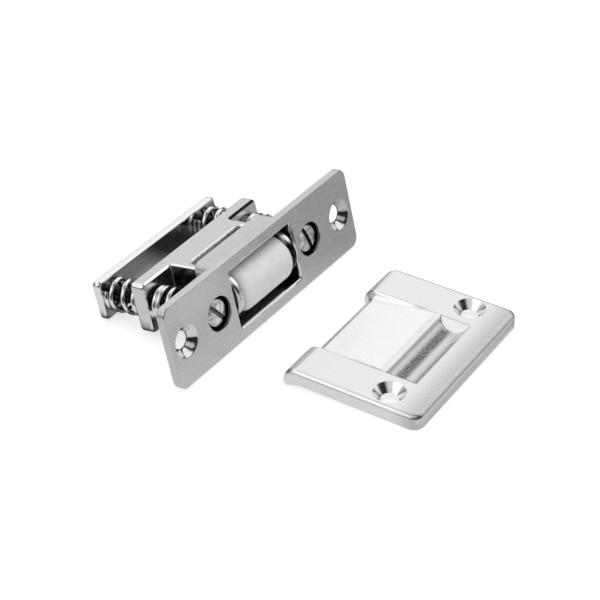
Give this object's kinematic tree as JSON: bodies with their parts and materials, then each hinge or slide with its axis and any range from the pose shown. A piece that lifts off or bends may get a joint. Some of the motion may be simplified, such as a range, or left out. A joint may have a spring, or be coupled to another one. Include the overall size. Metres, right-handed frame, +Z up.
{
  "type": "roller latch",
  "caption": "Mortise roller latch with a sprung nylon roller in a screwed faceplate, adjusting screws, a rear bar and a loose ramped strike plate.",
  "frame": {"origin": "middle of the faceplate's seat, the rear face that lies on the door's edge", "axes": "+X along the faceplate, +Y into the door, +Z up across the faceplate"},
  "size_m": [0.0856, 0.1053, 0.0364],
  "materials": {
    "satin_faceplate": "satin chrome, brushed along its length",
    "satin_strike": "satin chrome, brushed towards its lip",
    "plated_casting": "bright plated casting",
    "plated_steel": "bright plated steel",
    "spring_wire": "bright plated wire",
    "white_nylon": "off-white nylon, smooth and slightly waxy"
  },
  "bodies": {
    "frame": {"faceplate": "satin_faceplate", "strike_plate": "satin_strike", "left_front_spring": "spring_wire", "right_front_spring": "spring_wire"},
    "left_screw": {"left_adjusting_screw": "plated_steel"},
    "right_screw": {"right_adjusting_screw": "plated_steel"},
    "rear_bar": {"back_plate": "plated_steel", "left_rear_spring": "spring_wire", "right_rear_spring": "spring_wire"},
    "sprung_carriage": {"carriage": "plated_casting", "roller_axle": "plated_steel"},
    "roller_body": {"roller": "white_nylon"}
  },
  "joints": [
    {"name": "left_screw_turn", "type": "hinge", "parent": "frame", "child": "left_screw", "pos_m": [-0.02165, 0, 0], "axis": [0, 1, 0], "range_deg": [0, 1440]},
    {"name": "right_screw_turn", "type": "hinge", "parent": "frame", "child": "right_screw", "pos_m": [0.02165, 0, 0], "axis": [0, 1, 0], "range_deg": [0, 1440]},
    {"name": "back_plate_slide", "type": "slide", "parent": "frame", "child": "rear_bar", "axis": [0, -1, 0], "range_m": [0, 0.00317], "deforming": ["left_front_spring", "right_front_spring"]},
    {"name": "carriage_slide", "type": "slide", "parent": "rear_bar", "child": "sprung_carriage", "axis": [0, 1, 0], "range_m": [-0.002, 0.0055], "stiffness_N_per_m": 2000, "deforming": ["left_rear_spring", "right_rear_spring"]},
    {"name": "roller_turn", "type": "hinge", "parent": "sprung_carriage", "child": "roller_body", "pos_m": [0, 0.0021, 0], "axis": [1, 0, 0], "continuous": true}
  ],
  "couplings": [
    {"joint": "left_screw_turn", "follows": "back_plate_slide", "rad_per_m": 7915.3},
    {"joint": "right_screw_turn", "follows": "back_plate_slide", "rad_per_m": 7915.3}
  ]
}
